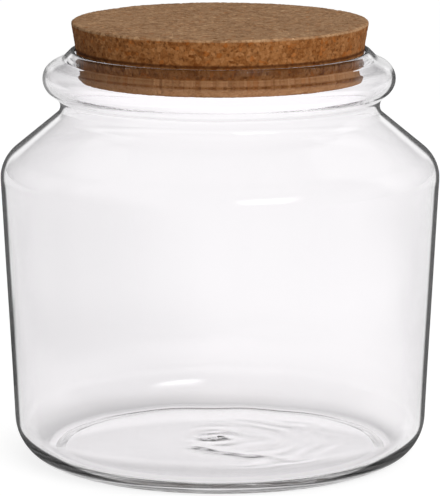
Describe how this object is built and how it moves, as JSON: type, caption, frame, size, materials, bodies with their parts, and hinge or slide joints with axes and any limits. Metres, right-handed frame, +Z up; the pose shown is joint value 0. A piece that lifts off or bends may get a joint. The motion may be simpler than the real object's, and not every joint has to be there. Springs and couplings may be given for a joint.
{
  "type": "glass jar with cork lid",
  "caption": "Wide round storage jar of clear glass with a tapered wall, sloping shoulder and rolled collar, closed by a thick tapered stopper of pressed cork.",
  "frame": {"origin": "centre of the foot ring, on the surface that the jar stands on", "axes": "+Z up along the jar's axis of rotation; X and Y lie across it and are alike"},
  "size_m": [0.1803, 0.1804, 0.181],
  "materials": {
    "clear_glass": "clear, polished",
    "pressed_cork": "pressed cork granules, sanded"
  },
  "bodies": {
    "jar": {"glass_jar": "clear_glass"},
    "lid": {"cork_lid": "pressed_cork"}
  },
  "joints": [
    {"name": "lid_lift", "type": "slide", "parent": "jar", "child": "lid", "axis": [0, 0, 1], "range_m": [0, 0.13]}
  ]
}
